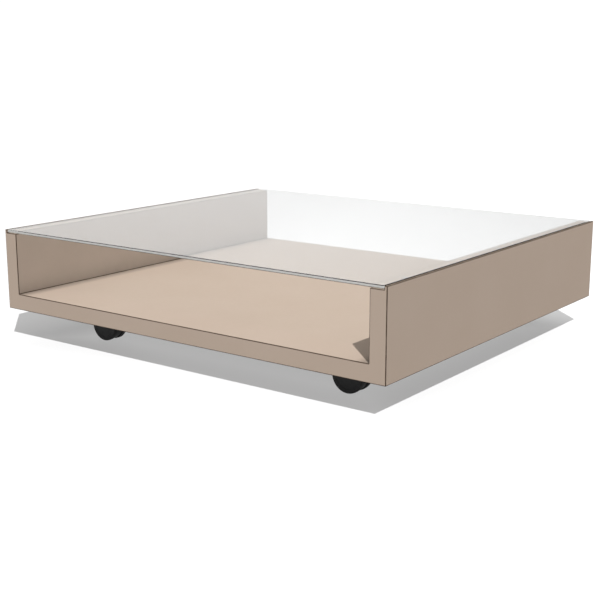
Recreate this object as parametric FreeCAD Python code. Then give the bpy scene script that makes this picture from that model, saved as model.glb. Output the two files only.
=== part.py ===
import FreeCAD, Part
import math
import os

# Rolling under-bed box: a base panel between two side panels, open at the front and the back, with a
# lift-off glass top lying in rebates in the sides, on four twin-wheel swivel casters.
#
# Millimetres. The origin is on the floor under the middle of the box. +X runs along the long side to the
# right, +Y from the front opening to the back opening, +Z up.

# ---------------------------------------------------------------- driving dimensions

BOX_WIDTH = 840.0           # over the two side panels, along X
BOX_DEPTH = 750.0           # front edge to back edge, along Y
BOX_HEIGHT = 150.0          # underside of the base to the top of the sides
BOARD = 30.0                # thickness of all three boards
BOARD_ARRIS = 1.2           # rounding of every outside board edge
RIDE_HEIGHT = 62.0          # floor to the underside of the base

GLASS_THICKNESS = 5.0
GLASS_CORNER = 3.0          # radius of the pane's corners in plan
GLASS_ARRIS = 0.6           # polished bevel round the pane's edges
REBATE_LIP = 5.0            # wall left standing outside the glass
GLASS_SIDE_GAP = 1.0        # play between the pane and each lip
GLASS_END_GAP = 0.5         # the pane is this much short of the boards' ends
PAD_THICKNESS = 1.0
PAD_RADIUS = 5.0
PAD_ROUND = 0.3
PAD_ROWS = (-300.0, 0.0, 300.0)

DOWEL_RADIUS = 3.95
DOWEL_HOLE_RADIUS = 4.0
DOWEL_IN_SIDE = 15.0
DOWEL_IN_BASE = 25.0
DOWEL_HOLE_SPARE = 1.0
DOWEL_CHAMFER = 0.8
DOWEL_ROWS = (-340.0, -145.0, 145.0, 340.0)

CAM_RADIUS = 7.5
CAM_HOLE_RADIUS = 7.6
CAM_HEIGHT = 20.0
CAM_RECESS = 0.5            # below the board's underside
CAM_HOLE_SPARE = 1.0
CAM_SETBACK = 34.0          # base panel's end to the cam's axis
CAM_CHANNEL_RADIUS = 3.8    # channel in the cam that takes the bolt's head
CAM_SLOT_LENGTH = 9.0       # cross slot for the screwdriver
CAM_SLOT_WIDTH = 1.6
CAM_SLOT_DEPTH = 2.5
CAM_ROWS = (-290.0, 0.0, 290.0)

BOLT_THREAD_RADIUS = 3.0
BOLT_THREAD_LENGTH = 11.0
BOLT_THREAD_PITCH = 2.0
BOLT_THREAD_DEPTH = 0.6
BOLT_SHANK_RADIUS = 3.0
BOLT_NECK_RADIUS = 2.0
BOLT_NECK_LENGTH = 4.0
BOLT_HEAD_RADIUS = 3.2
BOLT_HEAD_LENGTH = 3.0
BOLT_HOLE_RADIUS = 3.5      # clearance hole in the base panel's end

CASTER_FROM_SIDE = 142.0    # side panel's outer face to the swivel axis
CASTER_FROM_END = 116.0     # board end to the swivel axis
CASTER_TRAIL = 6.0          # swivel axis to the wheel axle

WHEEL_RADIUS = 30.0
WHEEL_WIDTH = 9.0
WHEEL_GAP = 0.5             # between each wheel and the swivel body
WHEEL_FACE = 1.8            # thickness of the closed outer disc
WHEEL_FACE_DISH = 0.4
WHEEL_DISH_RADIUS = 23.0
WHEEL_RIM = 3.0             # radial thickness of the core's rim
WHEEL_HUB_RADIUS = 7.0
WHEEL_RIBS = 8
WHEEL_RIB_THICKNESS = 1.6
WHEEL_RIB_INSET = 1.0
TREAD_THICKNESS = 2.5
TREAD_ROUND = 0.8
TREAD_KEY_HEIGHT = 0.8      # ring on the core that locks the tread
TREAD_KEY_WIDTH = 2.0

AXLE_RADIUS = 3.0
AXLE_REACH = 13.3           # from the caster's middle to each end
AXLE_CHAMFER = 0.4
AXLE_GROOVE_RADIUS = 2.5
AXLE_GROOVE_WIDTH = 1.0
AXLE_GROOVE_FROM_END = 1.4
SNAP_LIP_WIDTH = 0.6        # lip inside the hub that snaps into the groove
RUNNING_CLEARANCE = 0.05    # radial, wherever a piece turns on a shaft
PRESS_CLEARANCE = 0.01      # radial, wherever a shaft stays put

SWIVEL_WIDTH = 12.0         # swivel body, along the axle
SWIVEL_GUARD_RADIUS = 28.0  # round web that closes the gap between the wheels
SWIVEL_BOSS_HALF = 9.0      # stem boss, fore and aft of the stem
SWIVEL_SPACER_RADIUS = 7.0
SWIVEL_SPACER_HEIGHT = 0.35
SWIVEL_EDGE_ROUND = 0.8

STEM_RADIUS = 4.0
STEM_BOTTOM = 35.0
STEM_IN_BOARD = 23.0
STEM_CHAMFER = 0.6
STEM_COLLAR_RADIUS = 6.0
STEM_COLLAR_HEIGHT = 1.0
STEM_THRUST_GAP = 0.1       # collar to swivel body
STEM_HOLE_SPARE = 0.5
RING_OUTER_RADIUS = 4.5
RING_INNER_RADIUS = 3.25
RING_HEIGHT = 1.2
RING_ABOVE_STEM_BOTTOM = 2.5
RING_GAP_WIDTH = 2.4
RING_GROOVE_RADIUS = 3.2
RING_PLAY = 0.2
SOCKET_RADIUS = 5.5
SOCKET_FLANGE_RADIUS = 9.0
SOCKET_FLANGE_HEIGHT = 1.2
SOCKET_IN_BOARD = 24.0
SOCKET_HOLE_DEPTH = 25.0

# ---------------------------------------------------------------- worked-out places

HALF_WIDTH = BOX_WIDTH / 2
HALF_DEPTH = BOX_DEPTH / 2
BASE_BOTTOM = RIDE_HEIGHT
BASE_TOP = BASE_BOTTOM + BOARD
BASE_MIDDLE = BASE_BOTTOM + BOARD / 2
SIDE_TOP = BASE_BOTTOM + BOX_HEIGHT
SIDE_INNER = HALF_WIDTH - BOARD
GLASS_BOTTOM = SIDE_TOP - GLASS_THICKNESS
REBATE_FLOOR = GLASS_BOTTOM - PAD_THICKNESS
REBATE_WALL = HALF_WIDTH - REBATE_LIP
PAD_OFFSET = (SIDE_INNER + REBATE_WALL) / 2
WHEEL_INNER = SWIVEL_WIDTH / 2 + WHEEL_GAP
CORE_RADIUS = WHEEL_RADIUS - TREAD_THICKNESS
COLLAR_TOP = BASE_BOTTOM - SOCKET_FLANGE_HEIGHT
COLLAR_BOTTOM = COLLAR_TOP - STEM_COLLAR_HEIGHT
SWIVEL_TOP = COLLAR_BOTTOM - STEM_THRUST_GAP
RING_BOTTOM = STEM_BOTTOM + RING_ABOVE_STEM_BOTTOM

LEFT = -1
RIGHT = 1
X_AXIS = FreeCAD.Vector(1, 0, 0)
Y_AXIS = FreeCAD.Vector(0, 1, 0)
Z_AXIS = FreeCAD.Vector(0, 0, 1)

# ---------------------------------------------------------------- shape helpers


def block(low, high):
    """Box between two opposite corners."""
    size = [b - a for a, b in zip(low, high)]
    return Part.makeBox(size[0], size[1], size[2], FreeCAD.Vector(*low))


def polygon_face(points):
    """Flat face inside a closed outline of straight lines."""
    corners = [FreeCAD.Vector(*p) for p in points]
    return Part.Face(Part.makePolygon(corners + corners[:1]))


def turned(profile, start=0.0):
    """Solid of revolution about +Z from (radius, height) points; start lifts it along Z."""
    face = polygon_face([(r, 0.0, h + start) for r, h in profile])
    return face.revolve(FreeCAD.Vector(0, 0, 0), Z_AXIS, 360)


def rod(radius, low, high, chamfer):
    """Turned rod about +Z with a chamfer at each end."""
    return turned([
        (0, low), (radius - chamfer, low), (radius, low + chamfer),
        (radius, high - chamfer), (radius - chamfer, high), (0, high),
    ])


def laid_along(shape, direction):
    """Copy of a shape built about +Z, laid along another direction from the origin."""
    copy = shape.copy()
    copy.Placement = FreeCAD.Placement(FreeCAD.Vector(), FreeCAD.Rotation(Z_AXIS, direction))
    return copy


def moved(shape, x, y, z):
    """Copy of a shape moved to a place."""
    copy = shape.copy()
    copy.translate(FreeCAD.Vector(x, y, z))
    return copy


def save(node, shapes):
    """Write one node, a single solid or a group of separate identical solids."""
    whole = shapes[0] if len(shapes) == 1 else Part.makeCompound(shapes)
    whole.exportStep("parts/" + node + ".step")
    print(node, len(whole.Solids), "solids", round(whole.Volume / 1000, 2), "cm3", whole.isValid())


# ---------------------------------------------------------------- boards


def shell_outline():
    """Corners of the boards' common section, seen from the front: a U with a rebate in each arm."""
    right_arm = [
        (HALF_WIDTH, SIDE_TOP), (REBATE_WALL, SIDE_TOP), (REBATE_WALL, REBATE_FLOOR),
        (SIDE_INNER, REBATE_FLOOR), (SIDE_INNER, BASE_TOP),
    ]
    left_arm = [(-x, z) for x, z in reversed(right_arm)]
    return [(-HALF_WIDTH, BASE_BOTTOM), (HALF_WIDTH, BASE_BOTTOM)] + right_arm + left_arm


def is_outside_corner(x, z):
    """True for a corner of the section that stands out, so that its long edge is rounded."""
    inside_corners = ((SIDE_INNER, BASE_TOP), (REBATE_WALL, REBATE_FLOOR))
    return not any(math.isclose(abs(x), cx) and math.isclose(z, cz) for cx, cz in inside_corners)


def sanded_shell():
    """The glued-up U of three boards with all its outside edges rounded."""
    outline = [(x, -HALF_DEPTH, z) for x, z in shell_outline()]
    shell = polygon_face(outline).extrude(Y_AXIS * BOX_DEPTH)
    end_edges = []
    long_edges = []
    for edge in shell.Edges:
        a, b = (v.Point for v in edge.Vertexes)
        if math.isclose(a.y, b.y):
            end_edges.append(edge)
        elif is_outside_corner(a.x, a.z):
            long_edges.append(edge)
    return shell.makeFillet(BOARD_ARRIS, long_edges + end_edges)


def side_holes(side):
    """Blind holes in a side panel's inner face for the dowels and the connecting bolts."""
    dowel = Part.makeCylinder(DOWEL_HOLE_RADIUS, DOWEL_IN_SIDE + DOWEL_HOLE_SPARE)
    bolt = Part.makeCylinder(BOLT_THREAD_RADIUS, BOLT_THREAD_LENGTH)
    outwards = X_AXIS * side
    face = side * SIDE_INNER
    holes = [moved(laid_along(dowel, outwards), face, y, BASE_MIDDLE) for y in DOWEL_ROWS]
    holes += [moved(laid_along(bolt, outwards), face, y, BASE_MIDDLE) for y in CAM_ROWS]
    return holes


def base_holes(side):
    """Holes in the base panel at one end: dowels, bolt clearance and the cams' pockets."""
    dowel = Part.makeCylinder(DOWEL_HOLE_RADIUS, DOWEL_IN_BASE + DOWEL_HOLE_SPARE)
    bolt = Part.makeCylinder(BOLT_HOLE_RADIUS, CAM_SETBACK)
    pocket = Part.makeCylinder(CAM_HOLE_RADIUS, CAM_RECESS + CAM_HEIGHT + CAM_HOLE_SPARE)
    inwards = X_AXIS * -side
    face = side * SIDE_INNER
    cam_x = side * (SIDE_INNER - CAM_SETBACK)
    holes = [moved(laid_along(dowel, inwards), face, y, BASE_MIDDLE) for y in DOWEL_ROWS]
    holes += [moved(laid_along(bolt, inwards), face, y, BASE_MIDDLE) for y in CAM_ROWS]
    holes += [moved(pocket, cam_x, y, BASE_BOTTOM) for y in CAM_ROWS]
    return holes


def side_panel(shell, side):
    """One upright board: the shell outside the base panel's end."""
    near, far = sorted((side * SIDE_INNER, side * HALF_WIDTH))
    envelope = block((near, -HALF_DEPTH, BASE_BOTTOM), (far, HALF_DEPTH, SIDE_TOP))
    return shell.common(envelope).cut(side_holes(side)).Solids[0]


def base_panel(shell):
    """The level board between the sides, with the casters' and the cams' bores in its underside."""
    envelope = block((-SIDE_INNER, -HALF_DEPTH, BASE_BOTTOM), (SIDE_INNER, HALF_DEPTH, BASE_TOP))
    bore = Part.makeCylinder(SOCKET_RADIUS, SOCKET_HOLE_DEPTH)
    sockets = [moved(bore, x, y, BASE_BOTTOM) for _, x, y in caster_places()]
    return shell.common(envelope).cut(base_holes(LEFT) + base_holes(RIGHT) + sockets).Solids[0]


# ---------------------------------------------------------------- glass and its pads


def glass_top():
    """Clear pane with rounded corners and a polished bevel all round."""
    half_x = REBATE_WALL - GLASS_SIDE_GAP
    half_y = HALF_DEPTH - GLASS_END_GAP
    pane = block((-half_x, -half_y, GLASS_BOTTOM), (half_x, half_y, SIDE_TOP))
    uprights = [e for e in pane.Edges if abs(e.tangentAt(e.FirstParameter).z) > 0.5]
    pane = pane.makeFillet(GLASS_CORNER, uprights)
    rims = [e for e in pane.Edges if abs(e.BoundBox.ZLength) < GLASS_ARRIS]
    return pane.makeChamfer(GLASS_ARRIS, rims)


def glass_pads(side):
    """Clear round pads stuck along one rebate's floor."""
    pad = turned([
        (0, 0), (PAD_RADIUS, 0), (PAD_RADIUS, PAD_THICKNESS - PAD_ROUND),
        (PAD_RADIUS - PAD_ROUND, PAD_THICKNESS), (0, PAD_THICKNESS),
    ])
    return [moved(pad, side * PAD_OFFSET, y, REBATE_FLOOR) for y in PAD_ROWS]


# ---------------------------------------------------------------- hidden joinery


def dowels(side):
    """Wooden dowels across the joint between the base and one side."""
    dowel = rod(DOWEL_RADIUS, -DOWEL_IN_BASE, DOWEL_IN_SIDE, DOWEL_CHAMFER)
    laid = laid_along(dowel, X_AXIS * side)
    return [moved(laid, side * SIDE_INNER, y, BASE_MIDDLE) for y in DOWEL_ROWS]


def cam_bolt():
    """Connecting bolt about +Z, from the head at the cam to the screwed end in the side panel."""
    head_start = -CAM_SETBACK - BOLT_HEAD_LENGTH / 2
    neck_start = head_start + BOLT_HEAD_LENGTH
    shank_start = neck_start + BOLT_NECK_LENGTH
    profile = [
        (0, head_start), (BOLT_HEAD_RADIUS, head_start), (BOLT_HEAD_RADIUS, neck_start),
        (BOLT_NECK_RADIUS, neck_start), (BOLT_NECK_RADIUS, shank_start),
        (BOLT_SHANK_RADIUS, shank_start), (BOLT_SHANK_RADIUS, 0),
    ]
    ridges = int(BOLT_THREAD_LENGTH // BOLT_THREAD_PITCH)
    for turn in range(ridges):
        root = turn * BOLT_THREAD_PITCH + BOLT_THREAD_PITCH / 2
        profile.append((BOLT_THREAD_RADIUS - BOLT_THREAD_DEPTH, root))
        profile.append((BOLT_THREAD_RADIUS, root + BOLT_THREAD_PITCH / 2))
    profile.append((0, BOLT_THREAD_LENGTH))
    return turned(profile)


def cam_bolts(side):
    """Connecting bolts of one side."""
    laid = laid_along(cam_bolt(), X_AXIS * side)
    return [moved(laid, side * SIDE_INNER, y, BASE_MIDDLE) for y in CAM_ROWS]


def cam_lock(side):
    """Round cam with a channel for the bolt's head and a cross slot in its lower face."""
    body = rod(CAM_RADIUS, 0, CAM_HEIGHT, CAM_RECESS)
    bolt_height = BASE_MIDDLE - BASE_BOTTOM - CAM_RECESS
    channel = Part.makeCylinder(CAM_CHANNEL_RADIUS, CAM_RADIUS + BOLT_HEAD_LENGTH)
    channel = moved(laid_along(channel, X_AXIS * side), -side * BOLT_HEAD_LENGTH, 0, bolt_height)
    long_half = CAM_SLOT_LENGTH / 2
    thin_half = CAM_SLOT_WIDTH / 2
    slot = block((-long_half, -thin_half, 0), (long_half, thin_half, CAM_SLOT_DEPTH))
    cross = block((-thin_half, -long_half, 0), (thin_half, long_half, CAM_SLOT_DEPTH))
    return body.cut([channel, slot, cross])


def cam_locks(side):
    """Cams of one side, in the base panel's underside."""
    cam = cam_lock(side)
    x = side * (SIDE_INNER - CAM_SETBACK)
    return [moved(cam, x, y, BASE_BOTTOM + CAM_RECESS) for y in CAM_ROWS]


# ---------------------------------------------------------------- casters


def caster_places():
    """Name and swivel axis of each caster; all four stand with their wheels trailing to the right."""
    x = HALF_WIDTH - CASTER_FROM_SIDE
    y = HALF_DEPTH - CASTER_FROM_END
    return [
        ("front_left", -x, -y), ("front_right", x, -y),
        ("rear_left", -x, y), ("rear_right", x, y),
    ]


def stem_socket():
    """Steel sleeve pressed into the board, with a flange against the underside."""
    bore = STEM_RADIUS + PRESS_CLEARANCE
    sleeve = SOCKET_RADIUS - PRESS_CLEARANCE
    return turned([
        (bore, COLLAR_TOP), (SOCKET_FLANGE_RADIUS, COLLAR_TOP), (SOCKET_FLANGE_RADIUS, BASE_BOTTOM),
        (sleeve, BASE_BOTTOM), (sleeve, BASE_BOTTOM + SOCKET_IN_BOARD), (bore, BASE_BOTTOM + SOCKET_IN_BOARD),
    ])


def stem():
    """Steel stem: collar under the socket, plain end in the board, grooved end in the swivel body."""
    top = BASE_BOTTOM + STEM_IN_BOARD
    groove_top = RING_BOTTOM + RING_HEIGHT
    return turned([
        (0, STEM_BOTTOM), (STEM_RADIUS - STEM_CHAMFER, STEM_BOTTOM),
        (STEM_RADIUS, STEM_BOTTOM + STEM_CHAMFER), (STEM_RADIUS, RING_BOTTOM),
        (RING_GROOVE_RADIUS, RING_BOTTOM), (RING_GROOVE_RADIUS, groove_top),
        (STEM_RADIUS, groove_top), (STEM_RADIUS, COLLAR_BOTTOM),
        (STEM_COLLAR_RADIUS, COLLAR_BOTTOM), (STEM_COLLAR_RADIUS, COLLAR_TOP),
        (STEM_RADIUS, COLLAR_TOP), (STEM_RADIUS, top - STEM_CHAMFER),
        (STEM_RADIUS - STEM_CHAMFER, top), (0, top),
    ])


def stem_ring():
    """Open spring ring in the stem's groove; it holds the swivel body up when the box is lifted."""
    ring = turned([
        (RING_INNER_RADIUS, RING_BOTTOM), (RING_OUTER_RADIUS, RING_BOTTOM),
        (RING_OUTER_RADIUS, RING_BOTTOM + RING_HEIGHT), (RING_INNER_RADIUS, RING_BOTTOM + RING_HEIGHT),
    ])
    half = RING_GAP_WIDTH / 2
    gap = block((-RING_OUTER_RADIUS, -half, RING_BOTTOM), (0, half, RING_BOTTOM + RING_HEIGHT))
    return ring.cut(gap)


def swivel_body():
    """Round web between the wheels with the stem boss on top, bored for the stem and the axle."""
    half = SWIVEL_WIDTH / 2
    disc = Part.makeCylinder(SWIVEL_GUARD_RADIUS, SWIVEL_WIDTH)
    disc = moved(laid_along(disc, Y_AXIS), CASTER_TRAIL, -half, WHEEL_RADIUS)
    boss = block((-SWIVEL_BOSS_HALF, -half, WHEEL_RADIUS), (SWIVEL_BOSS_HALF, half, SWIVEL_TOP))
    web = disc.fuse(boss).removeSplitter()
    rims = [e for e in web.Edges if e.BoundBox.YLength < SWIVEL_EDGE_ROUND]
    web = web.makeFillet(SWIVEL_EDGE_ROUND, rims)

    spacer_length = SWIVEL_WIDTH + 2 * SWIVEL_SPACER_HEIGHT
    spacer = Part.makeCylinder(SWIVEL_SPACER_RADIUS, spacer_length)
    spacer = moved(laid_along(spacer, Y_AXIS), CASTER_TRAIL, -spacer_length / 2, WHEEL_RADIUS)
    axle_hole = Part.makeCylinder(AXLE_RADIUS + PRESS_CLEARANCE, spacer_length)
    axle_hole = moved(laid_along(axle_hole, Y_AXIS), CASTER_TRAIL, -spacer_length / 2, WHEEL_RADIUS)
    stem_hole_bottom = STEM_BOTTOM - STEM_HOLE_SPARE
    stem_hole = Part.makeCylinder(STEM_RADIUS + RUNNING_CLEARANCE, SWIVEL_TOP - stem_hole_bottom)
    stem_hole = moved(stem_hole, 0, 0, stem_hole_bottom)
    ring_pocket = Part.makeCylinder(RING_OUTER_RADIUS + RING_PLAY, RING_HEIGHT + 2 * RING_PLAY)
    ring_pocket = moved(ring_pocket, 0, 0, RING_BOTTOM - RING_PLAY)
    return web.fuse(spacer).cut([axle_hole, stem_hole, ring_pocket]).Solids[0]


def axle():
    """Steel axle along Y, with a groove near each end that the wheels snap into."""
    groove_start = AXLE_REACH - AXLE_GROOVE_FROM_END - AXLE_GROOVE_WIDTH
    groove_end = groove_start + AXLE_GROOVE_WIDTH
    upper = [
        (AXLE_RADIUS, groove_start), (AXLE_GROOVE_RADIUS, groove_start),
        (AXLE_GROOVE_RADIUS, groove_end), (AXLE_RADIUS, groove_end),
        (AXLE_RADIUS, AXLE_REACH - AXLE_CHAMFER), (AXLE_RADIUS - AXLE_CHAMFER, AXLE_REACH),
        (0, AXLE_REACH),
    ]
    lower = [(r, -h) for r, h in reversed(upper)]
    return moved(laid_along(turned(lower + upper), Y_AXIS), CASTER_TRAIL, 0, WHEEL_RADIUS)


def wheel_core():
    """Moulded wheel about +Z: closed outer face, hub with a snap lip, rim with a key for the tread."""
    bore = AXLE_RADIUS + RUNNING_CLEARANCE
    lip = AXLE_GROOVE_RADIUS + 2 * RUNNING_CLEARANCE
    face = WHEEL_WIDTH - WHEEL_FACE
    rim_inner = CORE_RADIUS - WHEEL_RIM
    key_radius = CORE_RADIUS + TREAD_KEY_HEIGHT
    key_start = (WHEEL_WIDTH - TREAD_KEY_WIDTH) / 2
    key_end = key_start + TREAD_KEY_WIDTH
    groove_middle = AXLE_REACH - AXLE_GROOVE_FROM_END - AXLE_GROOVE_WIDTH / 2 - WHEEL_INNER
    lip_start = groove_middle - SNAP_LIP_WIDTH / 2
    lip_end = groove_middle + SNAP_LIP_WIDTH / 2
    core = turned([
        (0, face), (bore, face), (bore, lip_end), (lip, lip_end), (lip, lip_start), (bore, lip_start),
        (bore, 0), (WHEEL_HUB_RADIUS, 0), (WHEEL_HUB_RADIUS, face), (rim_inner, face), (rim_inner, 0),
        (CORE_RADIUS, 0), (CORE_RADIUS, key_start), (key_radius, key_start), (key_radius, key_end),
        (CORE_RADIUS, key_end), (CORE_RADIUS, WHEEL_WIDTH),
        (WHEEL_DISH_RADIUS + WHEEL_FACE_DISH, WHEEL_WIDTH),
        (WHEEL_DISH_RADIUS, WHEEL_WIDTH - WHEEL_FACE_DISH), (0, WHEEL_WIDTH - WHEEL_FACE_DISH),
    ])
    half = WHEEL_RIB_THICKNESS / 2
    rib = block((WHEEL_HUB_RADIUS - half, -half, WHEEL_RIB_INSET), (rim_inner + half, half, face + half))
    ribs = []
    for number in range(WHEEL_RIBS):
        turn = rib.copy()
        turn.rotate(FreeCAD.Vector(), Z_AXIS, number * 360 / WHEEL_RIBS)
        ribs.append(turn)
    return core.fuse(ribs).removeSplitter()


def tread():
    """Soft ring about +Z round the wheel core, with rounded shoulders."""
    key_start = (WHEEL_WIDTH - TREAD_KEY_WIDTH) / 2
    key_end = key_start + TREAD_KEY_WIDTH
    key_radius = CORE_RADIUS + TREAD_KEY_HEIGHT
    ring = turned([
        (CORE_RADIUS, 0), (WHEEL_RADIUS, 0), (WHEEL_RADIUS, WHEEL_WIDTH), (CORE_RADIUS, WHEEL_WIDTH),
        (CORE_RADIUS, key_end), (key_radius, key_end), (key_radius, key_start), (CORE_RADIUS, key_start),
    ])
    shoulders = [e for e in ring.Edges if isinstance(e.Curve, Part.Circle) and e.Curve.Radius == WHEEL_RADIUS]
    return ring.makeFillet(TREAD_ROUND, shoulders)


def on_axle(shape, end):
    """Copy of a wheel piece put on the axle's front (-1) or back (+1) end, face outwards."""
    return moved(laid_along(shape, Y_AXIS * end), CASTER_TRAIL, end * WHEEL_INNER, WHEEL_RADIUS)


def save_casters():
    """Build one caster about its swivel axis and write a copy of each piece at all four places."""
    fixed_pieces = {
        "socket": stem_socket(), "stem": stem(), "stem_ring": stem_ring(),
        "swivel_body": swivel_body(), "axle": axle(),
    }
    core = wheel_core()
    rubber = tread()
    for name, x, y in caster_places():
        for piece, shape in fixed_pieces.items():
            save(name + "_" + piece, [moved(shape, x, y, 0)])
        outer_end = int(math.copysign(1, y))
        for wheel, end in (("outer", outer_end), ("inner", -outer_end)):
            save(name + "_" + wheel + "_wheel", [moved(on_axle(core, end), x, y, 0)])
            save(name + "_" + wheel + "_tread", [moved(on_axle(rubber, end), x, y, 0)])


# ---------------------------------------------------------------- the whole box


def main():
    os.makedirs("parts", exist_ok=True)
    shell = sanded_shell()
    save("base_panel", [base_panel(shell)])
    save("glass_top", [glass_top()])
    for side, word in ((LEFT, "left"), (RIGHT, "right")):
        save(word + "_side_panel", [side_panel(shell, side)])
        save("glass_pads_" + word, glass_pads(side))
        save("dowels_" + word, dowels(side))
        save("cam_bolts_" + word, cam_bolts(side))
        save("cam_locks_" + word, cam_locks(side))
    save_casters()


main()
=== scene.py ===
import logging
import math
from collections.abc import Sequence
from dataclasses import dataclass
from enum import Enum

import bmesh
import bpy
import numpy as np
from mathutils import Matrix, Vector


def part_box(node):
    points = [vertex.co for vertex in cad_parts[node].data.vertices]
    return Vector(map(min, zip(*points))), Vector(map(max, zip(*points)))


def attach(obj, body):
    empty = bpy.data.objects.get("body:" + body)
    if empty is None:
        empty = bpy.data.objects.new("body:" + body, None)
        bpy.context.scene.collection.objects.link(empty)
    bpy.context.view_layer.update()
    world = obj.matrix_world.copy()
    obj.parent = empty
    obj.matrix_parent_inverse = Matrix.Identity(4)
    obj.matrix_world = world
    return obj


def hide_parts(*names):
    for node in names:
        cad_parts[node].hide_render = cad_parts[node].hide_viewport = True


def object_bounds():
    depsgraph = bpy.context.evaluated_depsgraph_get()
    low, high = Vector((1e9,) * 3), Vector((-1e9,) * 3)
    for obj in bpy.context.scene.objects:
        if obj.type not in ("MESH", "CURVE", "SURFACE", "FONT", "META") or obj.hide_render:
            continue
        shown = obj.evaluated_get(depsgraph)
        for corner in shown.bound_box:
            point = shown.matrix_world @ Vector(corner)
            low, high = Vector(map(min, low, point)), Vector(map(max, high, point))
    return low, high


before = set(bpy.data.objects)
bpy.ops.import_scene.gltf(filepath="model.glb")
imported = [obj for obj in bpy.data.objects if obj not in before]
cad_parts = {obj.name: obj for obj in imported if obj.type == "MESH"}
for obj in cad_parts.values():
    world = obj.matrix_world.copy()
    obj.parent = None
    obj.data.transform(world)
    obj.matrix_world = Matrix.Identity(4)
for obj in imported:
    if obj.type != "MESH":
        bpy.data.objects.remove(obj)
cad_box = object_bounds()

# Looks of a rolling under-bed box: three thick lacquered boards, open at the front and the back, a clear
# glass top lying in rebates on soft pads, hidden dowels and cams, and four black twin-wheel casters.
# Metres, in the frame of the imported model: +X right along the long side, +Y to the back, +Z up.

LOG = logging.getLogger("under_bed_box")
MM = 0.001
KEY_HEIGHT = 0.8 * MM       # the ring on each wheel core that locks its tread, as in the CAD
KEY_WIDTH = 2.0 * MM
EDGE_LEAN = 0.05            # a face of the pane is part of its edge where its normal's Z is under this
FACES_UP = 0.5              # a face counts as a top where its normal's Z is over this
SLACK = 0.5 * MM            # how far past a plane a point lies before it counts as beyond it
NOISE_SPAN = (0.3, 0.7)     # a noise rarely leaves this span
NOISE_MIDDLE = (0.35, 0.65) # two colours are blended over this part of it
MERGE_REACH = 1e-7          # points this close are made one
SHARP_ANGLE = 40.0          # degrees; an edge that turns further stays sharp

Triple = tuple[float, float, float]
Span = tuple[float, float]
Colour = Triple
Socket = bpy.types.NodeSocket
Value = Socket | float | Sequence[float]


class Side(Enum):
    """The box's two closed sides."""

    LEFT = "left"
    RIGHT = "right"


class Corner(Enum):
    """Where a caster stands."""

    FRONT_LEFT = "front_left"
    FRONT_RIGHT = "front_right"
    REAR_LEFT = "rear_left"
    REAR_RIGHT = "rear_right"


class Wheel(Enum):
    """The two wheels of a caster: towards the board's end, and towards the middle of the box."""

    OUTER = "outer"
    INNER = "inner"


# ---------------------------------------------------------------- node trees


@dataclass(frozen=True)
class Grain:
    """One cloud noise: its repeats a metre, its finer layers, and how much each axis is scaled first."""

    scale: float
    detail: float = 3.0
    stretch: Triple | None = None


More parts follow.
